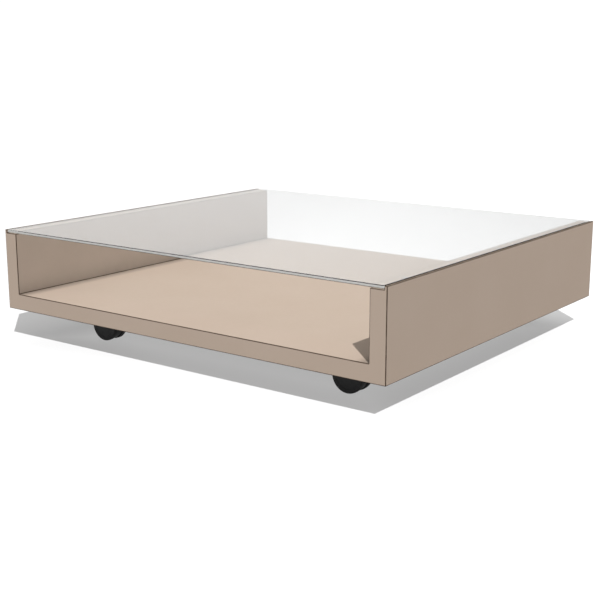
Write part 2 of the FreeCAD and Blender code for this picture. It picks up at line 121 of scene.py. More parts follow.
class Tree:
    """The node tree of one material, with the piece's own Object coordinates ready to use."""

    def __init__(self, name: str) -> None:
        """Start an empty material.

        Args:
            name: The material's name.
        """
        self.material = bpy.data.materials.new(name)
        self.material.use_nodes = True
        self.tree = self.material.node_tree
        self.tree.nodes.clear()
        self.output = self.tree.nodes.new("ShaderNodeOutputMaterial")
        self.place = self.tree.nodes.new("ShaderNodeTexCoord").outputs["Object"]
        self.normal = self.tree.nodes.new("ShaderNodeNewGeometry").outputs["Normal"]

    def add(self, kind: str, values: dict[str | int, Value], **settings: object) -> bpy.types.Node:
        """Add a node, set it up, and fill its inputs.

        Args:
            kind: The node's type, without the ShaderNode prefix.
            values: Input name or number to a socket that feeds it, or to a plain value.
            **settings: Properties of the node itself.

        Returns:
            The new node.
        """
        node = self.tree.nodes.new("ShaderNode" + kind)
        for key, setting in settings.items():
            setattr(node, key, setting)
        for key, value in values.items():
            if isinstance(value, bpy.types.NodeSocket):
                self.tree.links.new(value, node.inputs[key])
            else:
                node.inputs[key].default_value = value
        return node

    def noise(self, grain: Grain) -> Socket:
        """Soft cloud noise from 0 to 1 on the Object coordinates.

        Args:
            grain: Its scale and detail, and how it is drawn out.

        Returns:
            The noise's value.
        """
        place = self.place
        if grain.stretch is not None:
            place = self.add("Mapping", {"Vector": place, "Scale": grain.stretch}).outputs["Vector"]
        values = {"Vector": place, "Scale": grain.scale, "Detail": grain.detail}
        return self.add("TexNoise", values).outputs["Fac"]

    def spread(
        self, value: Socket, low: float, high: float, to_low: float = 0.0, to_high: Value = 1.0,
    ) -> Socket:
        """Map value from low..high to to_low..to_high, held inside that range."""
        values = {"Value": value, "From Min": low, "From Max": high, "To Min": to_low, "To Max": to_high}
        return self.add("MapRange", values).outputs["Result"]

    def wander(self, noise: Socket, low: float, high: float) -> Socket:
        """A value that wanders between low and high with a noise."""
        return self.spread(noise, *NOISE_SPAN, low, high)

    def maths(self, operation: str, a: Value, b: Value = 0.0) -> Socket:
        """One Math node on two values."""
        return self.add("Math", {0: a, 1: b}, operation=operation).outputs[0]

    def parts(self, vector: Socket) -> Sequence[Socket]:
        """A vector's three parts."""
        return self.add("SeparateXYZ", {0: vector}).outputs

    def absolute(self, vector: Socket) -> Socket:
        """A vector with the sign of each part dropped."""
        return self.add("VectorMath", {0: vector}, operation="ABSOLUTE").outputs[0]

    def mix(self, share: Value, first: Value, second: Value) -> Socket:
        """Blend two colours.

        Args:
            share: How much of the second shows.
            first: A colour or a socket.
            second: A colour or a socket.

        Returns:
            The blend.
        """
        first = (*first, 1.0) if isinstance(first, tuple) else first
        second = (*second, 1.0) if isinstance(second, tuple) else second
        node = self.add("Mix", {0: share, 6: first, 7: second}, data_type="RGBA")
        return node.outputs[2]

    def bump(
        self, height: Socket, depth: float, strength: float = 1.0, after: Socket | None = None,
    ) -> Socket:
        """A normal that stands for a relief.

        Args:
            height: The relief, from 0 to 1.
            depth: What a height of 1 measures, in metres.
            strength: How much of the relief shows.
            after: A normal from an earlier relief.

        Returns:
            The bent normal.
        """
        values = {"Height": height, "Distance": depth, "Strength": strength}
        if after is not None:
            values["Normal"] = after
        return self.add("Bump", values).outputs["Normal"]

    def let_lamps_through(self, shader: bpy.types.Node, share: Colour) -> None:
        """Link a shader to the output, but let lamps and scattered light pass straight through it.

        Args:
            shader: What the camera and mirrors see.
            share: How much of each colour gets through.
        """
        window = self.add("BsdfTransparent", {"Color": (*share, 1.0)}).outputs[0]
        rays = self.add("LightPath", {}).outputs
        seen = self.add("MixShader", {0: rays["Is Diffuse Ray"], 1: shader.outputs[0], 2: window})
        both = self.add("MixShader", {0: rays["Is Shadow Ray"], 1: seen.outputs[0], 2: window})
        self.tree.links.new(both.outputs[0], self.output.inputs["Surface"])

    def principled(self, **values: Value) -> bpy.types.Node:
        """The main shader, linked to the output.

        Args:
            **values: Its inputs by name, with underscores for spaces.

        Returns:
            The shader's node.
        """
        named = {key.replace("_", " "): value for key, value in values.items()}
        for key, value in named.items():
            if key.endswith("Color") and isinstance(value, tuple):
                named[key] = (*value, 1.0)
        shader = self.add("BsdfPrincipled", named)
        self.tree.links.new(shader.outputs[0], self.output.inputs["Surface"])
        return shader


# ---------------------------------------------------------------- finishes


@dataclass(frozen=True)
class ShellPlanes:
    """Where the faces of the three joined boards lie; X is counted from the middle to either side."""

    outer: float    # the sides' outer faces
    inner: float    # the sides' inner faces
    lip: float      # the wall of the rebate
    end: float      # the open ends
    under: float    # the underside
    tray: float     # the tray's floor
    ledge: float    # the rebate's floor
    top: float      # the tops of the sides

    @classmethod
    def measured(cls, lip_width: float = 5.0 * MM) -> "ShellPlanes":
        """Read the planes off the CAD boards and pads.

        Args:
            lip_width: Thickness of the lip left outside the glass.

        Returns:
            The planes.
        """
        low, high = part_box("right_side_panel")
        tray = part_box("base_panel")[1].z
        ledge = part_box("glass_pads_right")[0].z
        return cls(high.x, low.x, high.x - lip_width, high.y, low.z, tray, ledge, high.z)


@dataclass(frozen=True)
class BoardLacquer:
    """Warm beige matt lacquer rolled on fibreboard, rubbed through to the brown core along the edges, with
    painted shade in the tray.
    """

    planes: ShellPlanes
    lacquer: Colour = (0.280, 0.225, 0.183)
    shade: Colour = (0.274, 0.219, 0.177)
    clouds: Grain = Grain(9.0, 4.0)
    core: Colour = (0.036, 0.024, 0.016)
    # the colour of the painted shade in the tray's corners and on its inner walls
    corner: Colour = (0.114, 0.090, 0.073)
    roughness: float = 0.8
    less_rough: float = 0.03
    more_rough: float = 0.04
    sheen: Grain = Grain(160.0)
    specular: float = 0.1
    stipple: Grain = Grain(1100.0, 1.0)
    stipple_depth: float = 0.02 * MM
    stipple_strength: float = 0.35
    wear_full: float = 1.0 * MM
    wear_end: float = 1.6 * MM
    wear: Grain = Grain(60.0, 5.0)
    wear_span: Span = (0.25, 0.5)
    least_wear: float = 0.85
    top_wear: float = 2.0           # how many times wider the wear is on the tops of the sides
    top_wear_share: float = 0.85
    # how far the painted shade reaches up the inner walls and in across the tray's floor
    wall_shade_reach: float = 45.0 * MM
    floor_shade_reach: float = 28.0 * MM
    wall_shade_share: float = 0.28         # share of painted shade all the way up the inner walls
    wall_foot_shade_share: float = 0.42         # further share of painted shade at their foot
    # noise that makes the painted shade in the tray patchy
    dust: Grain = Grain(25.0)
    least_corner_shade: float = 0.85

    def edge_distance(self, t: Tree, out: Socket, along: Socket, up: Socket) -> Socket:
        """How far a point on a board is from the nearest edge or inside corner.

        A point on the boards lies on at least one plane. The second smallest of its distances to the
        planes across X, across Y and across Z is its distance to an edge. A plane that stops short is
        put out of reach beyond its end by adding 1.

        Args:
            t: The material's tree.
            out: The absolute X.
            along: The absolute Y.
            up: Z.

        Returns:
            The distance in metres.
        """
        plane = self.planes

        def gap(value: Socket, place: float) -> Socket:
            """Distance to one plane."""
            return t.maths("ABSOLUTE", t.maths("SUBTRACT", value, place))

        def least(*values: Socket) -> Socket:
            """The smallest of the values."""
            first = values[0]
            for value in values[1:]:
                first = t.maths("MINIMUM", first, value)
            return first

        below_tray = t.maths("LESS_THAN", up, plane.tray - SLACK)
        below_ledge = t.maths("LESS_THAN", up, plane.ledge - SLACK)
        past_inner = t.maths("GREATER_THAN", out, plane.inner + SLACK)
        past_lip = t.maths("GREATER_THAN", out, plane.lip + SLACK)
        across_x = least(
            gap(out, plane.outer), t.maths("ADD", gap(out, plane.inner), below_tray),
            t.maths("ADD", gap(out, plane.lip), below_ledge),
        )
        across_z = least(
            gap(up, plane.under), gap(up, plane.top), t.maths("ADD", gap(up, plane.tray), past_inner),
            t.maths("ADD", gap(up, plane.ledge), past_lip),
        )
        across_y = gap(along, plane.end)
        nearer, farther = least(across_x, across_y), t.maths("MAXIMUM", across_x, across_y)
        return t.maths("MAXIMUM", nearer, least(farther, across_z))

    def corner_painted_shade(self, t: Tree, out: Socket, up: Socket) -> Socket:
        """How much painted shade darkens the tray.

        It is painted shade over the inner walls, thicker at their foot, where it grows as the square of the
        nearness, and it runs out evenly on the floor.

        Args:
            t: The material's tree.
            out: The absolute X.
            up: Z.

        Returns:
            The share of painted shade, 1 in the corner of the floor.
        """
        plane = self.planes
        foot = t.spread(t.maths("SUBTRACT", up, plane.tray), self.wall_shade_reach, 0.0)
        foot_painted_shade = t.maths("MULTIPLY", t.maths("MULTIPLY", foot, foot), self.wall_foot_shade_share)
        wall = t.maths("ADD", foot_painted_shade, self.wall_shade_share)
        floor = t.spread(t.maths("SUBTRACT", plane.inner, out), self.floor_shade_reach, 0.0)
        on_wall = t.maths("GREATER_THAN", up, plane.tray + SLACK)
        in_tray = t.maths(
            "MULTIPLY", t.maths("LESS_THAN", out, plane.inner + SLACK),
            t.maths("GREATER_THAN", up, plane.tray - SLACK),
        )
        return t.maths("MULTIPLY", t.mix(on_wall, floor, wall), in_tray)

    def edge_wear(self, t: Tree, out: Socket, along: Socket, up: Socket) -> Socket:
        """How far the lacquer is rubbed through along the edges, more widely on the tops of the sides.

        Args:
            t: The material's tree.
            out: The absolute X.
            along: The absolute Y.
            up: Z.

        Returns:
            The share of bare core, which comes and goes along an edge.
        """
        facing_up = t.maths("GREATER_THAN", t.parts(t.normal)[2], FACES_UP)
        on_top = t.maths("MULTIPLY", facing_up, t.maths("GREATER_THAN", up, self.planes.ledge - SLACK))
        reach = t.spread(on_top, 0.0, 1.0, 1.0, self.top_wear)
        distance = t.maths("DIVIDE", self.edge_distance(t, out, along, up), reach)
        rubbed = t.maths(
            "MULTIPLY", t.spread(distance, self.wear_end, self.wear_full),
            t.spread(on_top, 0.0, 1.0, 1.0, self.top_wear_share),
        )
        patchy = t.spread(t.noise(self.wear), *self.wear_span, self.least_wear, 1.0)
        return t.maths("MULTIPLY", rubbed, patchy)

    def material(self) -> bpy.types.Material:
        """Cloudy colour, painted shade in the tray's corners and on its inner walls, worn edges and a fine
        roller stipple.
        """
        t = Tree("board_lacquer")
        out, along, _ = t.parts(t.absolute(t.place))
        up = t.parts(t.place)[2]
        colour = t.mix(t.spread(t.noise(self.clouds), *NOISE_MIDDLE), self.lacquer, self.shade)
        # painted shade in the tray's corners and on its inner walls, darkened towards the corner colour in
        # noisy patches
        patchy = t.wander(t.noise(self.dust), self.least_corner_shade, 1.0)
        colour = t.mix(t.maths("MULTIPLY", self.corner_painted_shade(t, out, up), patchy), colour, self.corner)
        colour = t.mix(self.edge_wear(t, out, along, up), colour, self.core)
        rough = t.wander(
            t.noise(self.sheen), self.roughness - self.less_rough, self.roughness + self.more_rough,
        )
        stipple = t.bump(t.noise(self.stipple), self.stipple_depth, self.stipple_strength)
        t.principled(
            Base_Color=colour, Roughness=rough, Normal=stipple, Specular_IOR_Level=self.specular,
        )
        return t.material


@dataclass(frozen=True)
class ClearGlass:
    """Clear float glass, very faintly smeared, and greener where it is seen edge on."""

    face: Colour = (0.985, 0.992, 0.990)
    smear: Colour = (0.970, 0.978, 0.976)
    smears: Grain = Grain(14.0, 3.0, (1.0, 2.5, 1.0))
    smear_span: Span = (0.45, 0.75)
    edge: Colour = (0.62, 0.70, 0.67)
    edge_turn: Span = (0.9, 0.5)    # the normal's upward part, from the face's colour to the edge's
    index: float = 1.5
    lamp_share: Colour = (0.985, 0.990, 0.987)

    def material(self) -> bpy.types.Material:
        """Glass that bends what is seen through it, and lets lamps shine through."""
        t = Tree("clear_glass")
        cloud = t.spread(t.noise(self.smears), *self.smear_span)
        rim = t.spread(t.maths("ABSOLUTE", t.parts(t.normal)[2]), *self.edge_turn)
        colour = t.mix(rim, t.mix(cloud, self.face, self.smear), self.edge)
        glass = t.principled(
            Base_Color=colour, Roughness=0.0, IOR=self.index, Transmission_Weight=1.0,
        )
        t.let_lamps_through(glass, self.lamp_share)
        return t.material


@dataclass(frozen=True)
class GroundEdge:
    """The pane's ground edge: matt, pale and very slightly green, with fine wheel marks along it.

    Its arrises are painted dark, most of all the lower one, where it looks into the glass: painted shade
    for how dark the glass looks there.
    """

    bottom: float
    height: float
    # near black painted along the arrises as painted shade
    arris_painted_shade: Colour = (0.020, 0.021, 0.020)
    low_arris: Span = (1.1 * MM, 0.9 * MM)      # above the bottom, from where it starts to where it is full
    high_arris: Span = (0.84 * MM, 0.56 * MM)   # below the top, the same
    pale: Colour = (0.335, 0.330, 0.318)
    deep: Colour = (0.290, 0.286, 0.276)
    marks: Grain = Grain(1.0, 3.0, (60.0, 60.0, 1800.0))
    marks_depth: float = 0.02 * MM
    marks_strength: float = 0.6
    roughness: Span = (0.37, 0.55)
    lamp_share: Colour = (0.985, 0.990, 0.987)

    def material(self) -> bpy.types.Material:
        """Matt glass with grinding marks drawn out along the edge, and painted shade along its arrises."""
        t = Tree("ground_glass_edge")
        marks = t.noise(self.marks)
        colour = t.mix(t.spread(marks, *NOISE_MIDDLE), self.pale, self.deep)
        up = t.maths("SUBTRACT", t.parts(t.place)[2], self.bottom)
        low = t.spread(up, *self.low_arris)
        high = t.spread(up, *(self.height - reach for reach in self.high_arris))
        # painted shade: both arrises darkened towards the near black
        colour = t.mix(t.maths("MAXIMUM", low, high), colour, self.arris_painted_shade)
        ground = t.principled(
            Base_Color=colour, Roughness=t.wander(marks, *self.roughness),
            Normal=t.bump(marks, self.marks_depth, self.marks_strength),
        )
        t.let_lamps_through(ground, self.lamp_share)
        return t.material


@dataclass(frozen=True)
class ClearPad:
    """Clear soft polyurethane, slightly hazy, with the odd speck of dust."""

    clear: Colour = (0.93, 0.93, 0.91)
    dusty: Colour = (0.78, 0.77, 0.74)
    specks: Grain = Grain(1400.0, 4.0)
    speck_span: Span = (0.55, 0.72)
    roughness: Span = (0.12, 0.4)   # clean, and under a speck
    index: float = 1.45
    clearness: float = 0.8

    def material(self) -> bpy.types.Material:
        """A soft translucent plastic with dusty specks."""
        t = Tree("clear_pad")
        dust = t.spread(t.noise(self.specks), *self.speck_span)
        t.principled(
            Base_Color=t.mix(dust, self.clear, self.dusty),
            Roughness=t.spread(dust, 0.0, 1.0, *self.roughness),
            IOR=self.index, Transmission_Weight=self.clearness,
        )
        return t.material


@dataclass(frozen=True)
class MouldedPlastic:
    """Black moulded nylon with a fine spark-eroded grain and faint handling marks."""

    name: str
    black: Colour
    dust: Colour
    roughness: Span
    grain: Grain
    grain_depth: float
    grain_strength: float = 0.7
    marks: Grain = Grain(95.0, 6.0)
    marks_span: Span = (0.42, 0.80)
    most_dust: float = 0.5
    sheen: Grain = Grain(140.0, 4.0)
    specular: float = 0.3

    def material(self) -> bpy.types.Material:
        """Near-black with faint dust, a grainy relief and uneven gloss."""
        t = Tree(self.name)
        marks = t.spread(t.noise(self.marks), *self.marks_span)
        t.principled(
            Base_Color=t.mix(t.maths("MULTIPLY", marks, self.most_dust), self.black, self.dust),
            Roughness=t.wander(t.noise(self.sheen), *self.roughness),
            Normal=t.bump(t.noise(self.grain), self.grain_depth, self.grain_strength),
            Specular_IOR_Level=self.specular,
        )
        return t.material


@dataclass(frozen=True)
class TreadRubber:
    """Black soft tread: dull, with fine scuffs that run round the wheel and a little floor dust."""

    black: Colour = (0.003, 0.003, 0.0031)
    dust: Colour = (0.018, 0.017, 0.016)
    dust_span: Span = (0.52, 0.85)
    roughness: Span = (0.72, 0.87)
    scuffs: Grain = Grain(420.0, 5.0, (0.25, 3.0, 0.25))
    scuff_depth: float = 0.06 * MM
    scuff_strength: float = 0.8
    pores: Grain = Grain(2600.0, 2.0)
    pore_depth: float = 0.03 * MM
    pore_strength: float = 0.6

    def material(self) -> bpy.types.Material:
        """Dull black with scuffs drawn out round the axle, and dust where the scuffs are deep."""
        t = Tree("tread_rubber")
        scuffs = t.noise(self.scuffs)
        pores = t.bump(t.noise(self.pores), self.pore_depth, self.pore_strength)
        t.principled(
            Base_Color=t.mix(t.spread(scuffs, *self.dust_span), self.black, self.dust),
            Roughness=t.wander(scuffs, *self.roughness),
            Normal=t.bump(scuffs, self.scuff_depth, self.scuff_strength, pores),
        )
        return t.material


@dataclass(frozen=True)
class Metal:
    """Bare or plated metal with turning marks."""

    name: str
    bright: Colour
    dull: Colour
    roughness: Span
    lines: Grain
    line_depth: float = 0.01 * MM
    line_strength: float = 0.6
    tarnish: Grain = Grain(220.0, 4.0)
    tarnish_span: Span = (0.38, 0.70)

    def material(self) -> bpy.types.Material:
        """Metal with a cloudy tarnish and fine marks drawn out along one direction."""
        t = Tree(self.name)
        cloud = t.spread(t.noise(self.tarnish), *self.tarnish_span)
        lines = t.noise(self.lines)
        t.principled(
            Base_Color=t.mix(cloud, self.bright, self.dull), Metallic=1.0,
            Roughness=t.wander(lines, *self.roughness),
            Normal=t.bump(lines, self.line_depth, self.line_strength),
        )
        return t.material


@dataclass(frozen=True)
class Beech:
    """Bare beech: pale pinkish brown with short dark flecks along the grain."""

    light: Colour = (0.56, 0.37, 0.22)
    dark: Colour = (0.40, 0.23, 0.12)
    bands: Grain = Grain(1.0, 3.0, (30.0, 900.0, 900.0))
    band_depth: float = 0.05 * MM
    fleck: Colour = (0.22, 0.12, 0.06)
    flecks: Grain = Grain(1.0, 2.0, (420.0, 2600.0, 2600.0))
    fleck_span: Span = (0.62, 0.72)
    roughness: Span = (0.55, 0.7)

    def material(self) -> bpy.types.Material:
        """Growth bands across the dowel and flecks drawn out along it."""
        t = Tree("beech")
        bands = t.noise(self.bands)
        flecks = t.spread(t.noise(self.flecks), *self.fleck_span)
        wood = t.mix(t.spread(bands, *NOISE_MIDDLE), self.light, self.dark)
        t.principled(
            Base_Color=t.mix(flecks, wood, self.fleck), Roughness=t.wander(bands, *self.roughness),
            Normal=t.bump(bands, self.band_depth),
        )
        return t.material


@dataclass(frozen=True)
class PaleFloor:
    """Pale matt sheet that glows a little: barely cloudy, with painted light under the box that lightens
    its cast shadow.
    """

    box_half: Span                  # half the box's width and half its depth
    light: Colour = (0.412, 0.412, 0.412)
    dark: Colour = (0.406, 0.406, 0.407)
    clouds: Grain = Grain(1.6)
    bounced: Colour = (0.14, 0.14, 0.14)
    glow_outside: float = 0.315
    glow_corner: float = 0.17       # painted shade in the cast shadow beyond the front left corner, where the sky is brightest
    corner_way: Triple = (1.0, 0.4, 0.0)
    corner_from: float = -0.58
    corner_to: float = -0.20
    # painted light that lightens the box's cast shadow under its middle
    glow_under: float = 0.42
    fade: float = 0.12
    roughness: float = 0.9
    specular: float = 0.1

    def glow(self, t: Tree) -> Socket:
        """How strongly the sheet glows.

        It is strongest under the middle of the box, painted light in the box's cast shadow, fades to the
        outer glow towards the box's outline, and is dimmed along one slanting way beyond the front left
        corner, painted shade in the shadow there.

        Args:
            t: The material's tree.

        Returns:
            The strength.
        """
        away = t.absolute(t.place)
        edge = t.add("VectorMath", {0: away, 1: (*self.box_half, 0.0)}, operation="SUBTRACT").outputs[0]
        past = t.parts(edge)
        slant = t.add("VectorMath", {0: t.place, 1: self.corner_way}, operation="DOT_PRODUCT")
        beyond = t.spread(
            slant.outputs["Value"], self.corner_from, self.corner_to, self.glow_corner, self.glow_outside,
        )
        return t.spread(t.maths("MAXIMUM", past[0], past[1]), -self.fade, 0.0, self.glow_under, beyond)

    def material(self) -> bpy.types.Material:
        """A plain sheet that throws less back on to the box, and is clear from beneath."""
        t = Tree("pale_floor")
        cloud = t.spread(t.noise(self.clouds), *NOISE_MIDDLE)
        scattered = t.add("LightPath", {}).outputs["Is Diffuse Ray"]
        sheet = t.principled(
            Base_Color=t.mix(scattered, t.mix(cloud, self.light, self.dark), self.bounced),
            Roughness=self.roughness, Specular_IOR_Level=self.specular, Emission_Color=(1.0, 1.0, 1.0),
            Emission_Strength=t.maths("MULTIPLY", self.glow(t), t.maths("SUBTRACT", 1.0, scattered)),
        )
        below = t.add("NewGeometry", {}).outputs["Backfacing"]
        clear = t.add("BsdfTransparent", {}).outputs[0]
        shown = t.add("MixShader", {0: below, 1: sheet.outputs[0], 2: clear})
        t.tree.links.new(shown.outputs[0], t.output.inputs["Surface"])
        return t.material


# ---------------------------------------------------------------- shapes


def surface(
    name: str, points: np.ndarray, close_rows: bool = False, close_columns: bool = True,
    capped: bool = False,
) -> bpy.types.Object:
    """Make a mesh of quads from a grid of points, each joined to its neighbours.

    Points that fall together, as at the pole of a turned shape, are merged, and the faces are turned to
    point outwards. With caps, the first and the last row are each filled with one face, which stays flat.

    Args:
        name: The piece's name.
        points: Rows by columns by 3.
        close_rows: The last row joins the first.
        close_columns: The last column joins the first.
        capped: Fill the first and the last row.

    Returns:
        The new object, at the origin.
    """
    rows, columns = points.shape[:2]
    number = np.arange(rows * columns).reshape(rows, columns)
    row_ends = rows if close_rows else rows - 1
    column_ends = columns if close_columns else columns - 1
    i, j = np.meshgrid(np.arange(row_ends), np.arange(column_ends), indexing="ij")
    below, beside = (i + 1) % rows, (j + 1) % columns
    quads = np.stack([number[i, j], number[i, beside], number[below, beside], number[below, j]], -1)
    faces = quads.reshape(-1, 4).tolist()
    if capped:
        faces += [number[0][::-1].tolist(), number[-1].tolist()]
    mesh = bpy.data.meshes.new(name)
    mesh.from_pydata(points.reshape(-1, 3).tolist(), [], faces)
    work = bmesh.new()
    work.from_mesh(mesh)
    bmesh.ops.remove_doubles(work, verts=work.verts, dist=MERGE_REACH)
    bmesh.ops.recalc_face_normals(work, faces=work.faces)
    work.to_mesh(mesh)
    work.free()
    mesh.polygons.foreach_set("use_smooth", [len(face.vertices) <= 4 for face in mesh.polygons])
    mesh.set_sharp_from_angle(angle=math.radians(SHARP_ANGLE))
    piece = bpy.data.objects.new(name, mesh)
    bpy.context.scene.collection.objects.link(piece)
    return piece


def rounded(corners: Sequence[Sequence[float]], radii: Sequence[float], steps: int = 6) -> np.ndarray:
    """A closed outline whose corners are arcs.

    Each arc starts and ends radius / tan(half the corner's angle) from its corner, and its centre lies
    radius / sin(half the angle) along the corner's middle line.

    Args:
        corners: The outline's sharp corners, in order.
        radii: The arc's radius at each corner; 0 keeps it sharp.
        steps: Points on each arc, less one.

    Returns:
        The outline's points, n by 2.
    """
    outline = []
    corners = np.asarray(corners, float)
    for number, (corner, radius) in enumerate(zip(corners, radii, strict=True)):
        before = corners[number - 1] - corner
        after = corners[(number + 1) % len(corners)] - corner
        before /= np.linalg.norm(before)
        after /= np.linalg.norm(after)
        if radius <= 0:
            outline.append(corner[None])
            continue
        half = math.acos(float(np.clip(before @ after, -1, 1))) / 2
        middle = before + after
        centre = corner + middle / np.linalg.norm(middle) * radius / math.sin(half)
        start = corner + before * radius / math.tan(half) - centre
        end = corner + after * radius / math.tan(half) - centre
        share = np.linspace(0, 1, steps + 1)[:, None]
        opening = math.acos(float(np.clip(start @ end / radius**2, -1, 1)))
        arc = (np.sin((1 - share) * opening) * start + np.sin(share * opening) * end) / math.sin(opening)
        outline.append(centre + arc)
    return np.vstack(outline)


def turned(profile: np.ndarray, segments: int, ripple: float = 0.0, ripples: int = 0) -> np.ndarray:
    """Points of a shape turned about its own third axis.

    Each profile point (r, h) becomes a circle of radius r at height h. With ripples, the radius falls by
    the depth times the square of the sine of half the ripple angle, and less nearer the axis, which
    leaves that many shallow flutes.

    Args:
        profile: (r, h) points, n by 2.
        segments: Points round each circle.
        ripple: The flutes' depth.
        ripples: The number of flutes.

    Returns:
        Points, n by segments by 3.
    """
    angle = np.linspace(0, 2 * np.pi, segments, endpoint=False)[None]
    radius, height = profile[:, :1], profile[:, 1:]
    reach = radius * (1 - ripple / radius.max() * np.sin(ripples * angle / 2) ** 2)
    return np.stack([reach * np.cos(angle), reach * np.sin(angle), height + 0 * angle], -1)


def solid_middles(node: str, axis: int = 1, gap: float = 20 * MM) -> list[Vector]:
    """Middle of each separate solid in a CAD group, told apart by gaps along one axis.

    Args:
        node: The CAD node.
        axis: The axis that the solids are spread along.
        gap: The least empty length between two solids.

    Returns:
        One point for each solid, in order along the axis.
    """
    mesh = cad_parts[node].data
    places = np.empty(len(mesh.vertices) * 3)
    mesh.vertices.foreach_get("co", places)
    places = places.reshape(-1, 3)
    places = places[np.argsort(places[:, axis])]
    cuts = np.flatnonzero(np.diff(places[:, axis]) > gap) + 1
    return [Vector((part.min(0) + part.max(0)) / 2) for part in np.split(places, cuts)]


def joined(pieces: list[bpy.types.Object], name: str) -> bpy.types.Object:
    """Join several pieces into one object.

    Args:
        pieces: The pieces, of which the first is kept and the others are removed.
        name: The whole's name.

    Returns:
        The first piece, with every piece's mesh.
    """
    whole = bmesh.new()
    for piece in pieces:
        whole.from_mesh(piece.data)
    mesh = pieces[0].data
    whole.to_mesh(mesh)
    whole.free()
    for piece in pieces[1:]:
        bpy.data.objects.remove(piece)
    pieces[0].name = name
    mesh.name = name
    return pieces[0]


def dress(piece: bpy.types.Object, material: bpy.types.Material) -> None:
    """Give a piece one material in place of any it has."""
    piece.data.materials.clear()
    piece.data.materials.append(material)


def dress_node(node: str, material: bpy.types.Material) -> None:
    """Give a CAD node its finish and report it."""
    dress(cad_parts[node], material)
    LOG.info("finished node %s with %s", node, material.name)


def settle(piece: bpy.types.Object, material: bpy.types.Material, body: str, node: str) -> None:
    """Dress a new piece, set it riding on its body in place of a CAD node, and report it.

    Args:
        piece: The new piece.
        material: Its finish.
        body: The CAD body that it moves with.
        node: The CAD node that it stands for.
    """
    dress(piece, material)
    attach(piece, body)
    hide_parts(node)
    LOG.info("made %s: %d faces on %s", piece.name, len(piece.data.polygons), body)


# ---------------------------------------------------------------- the box


@dataclass
class Boards:
    """The base panel and the two side panels, which keep their CAD shapes."""

    def build(self) -> None:
        """Lacquer the three boards."""
        lacquer = BoardLacquer(ShellPlanes.measured()).material()
        for node in ("base_panel", "left_side_panel", "right_side_panel"):
            dress_node(node, lacquer)


@dataclass
class GlassTop:
    """The loose pane and the clear pads that it lies on."""

    corner_radius: float = 3.0 * MM
    least_radius: float = 0.1 * MM
    edge_radius: float = 0.8 * MM
    edge_steps: int = 5
    pad_segments: int = 48
    pad_rings: int = 12
    pad_shoulder: float = 0.45 * MM
    finish: ClearGlass = ClearGlass()
    pad_finish: ClearPad = ClearPad()

    def build(self) -> None:
        """Make the pane and both rows of pads."""
        self.build_pane()
        clear = self.pad_finish.material()
        for side in Side:
            self.build_pads(side, clear)

    def build_pane(self) -> None:
        """The pane: its plan outline, a rectangle with rounded corners, drawn in by the edge's section.

        The section goes up the pane's edge round two arcs. At each of its points the outline is drawn in
        by that point's distance from the pane's outermost line, and the flat bottom and top close the
        first and the last ring.
        """
        low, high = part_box("glass_top")
        height = high.z - low.z
        section = rounded(
            [(self.corner_radius, 0), (0, 0), (0, height), (self.corner_radius, height)],
            [0, self.edge_radius, self.edge_radius, 0], self.edge_steps,
        )
        rings = []
        for inset, rise in section:
            plan = [
                (low.x + inset, low.y + inset), (high.x - inset, low.y + inset),
                (high.x - inset, high.y - inset), (low.x + inset, high.y - inset),
            ]
            radius = max(self.corner_radius - inset, self.least_radius)
            outline = rounded(plan, [radius] * 4, self.edge_steps)
            rings.append(np.column_stack([outline, np.full(len(outline), low.z + rise)]))
        pane = surface("glass_pane", np.array(rings), capped=True)
        settle(pane, self.finish.material(), "glass", "glass_top")
        pane.data.materials.append(GroundEdge(low.z, height).material())
        upright = [int(abs(face.normal.z) < EDGE_LEAN) for face in pane.data.polygons]
        pane.data.polygons.foreach_set("material_index", upright)

    def build_pads(self, side: Side, clear: bpy.types.Material) -> None:
        """One row of domed pads: each a low disc whose top falls away as the square of the radius.

        Args:
            side: The side that the row is on.
            clear: The pads' finish.
        """
        node = "glass_pads_" + side.value
        low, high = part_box(node)
        radius, height = (high.x - low.x) / 2, high.z - low.z
        across = np.linspace(0, radius, self.pad_rings)
        top = height - self.pad_shoulder * (across / radius) ** 2
        dome = np.column_stack([across, top])
        foot = np.array([(radius, 0.0), (0.0, 0.0)])
        pad = turned(np.vstack([dome, foot]), self.pad_segments)
        pads = [pad + np.array((m.x, m.y, low.z)) for m in solid_middles(node)]
        pieces = [surface(f"{node}_{number}", points) for number, points in enumerate(pads)]
        settle(joined(pieces, "clear_" + node), clear, "box", node)


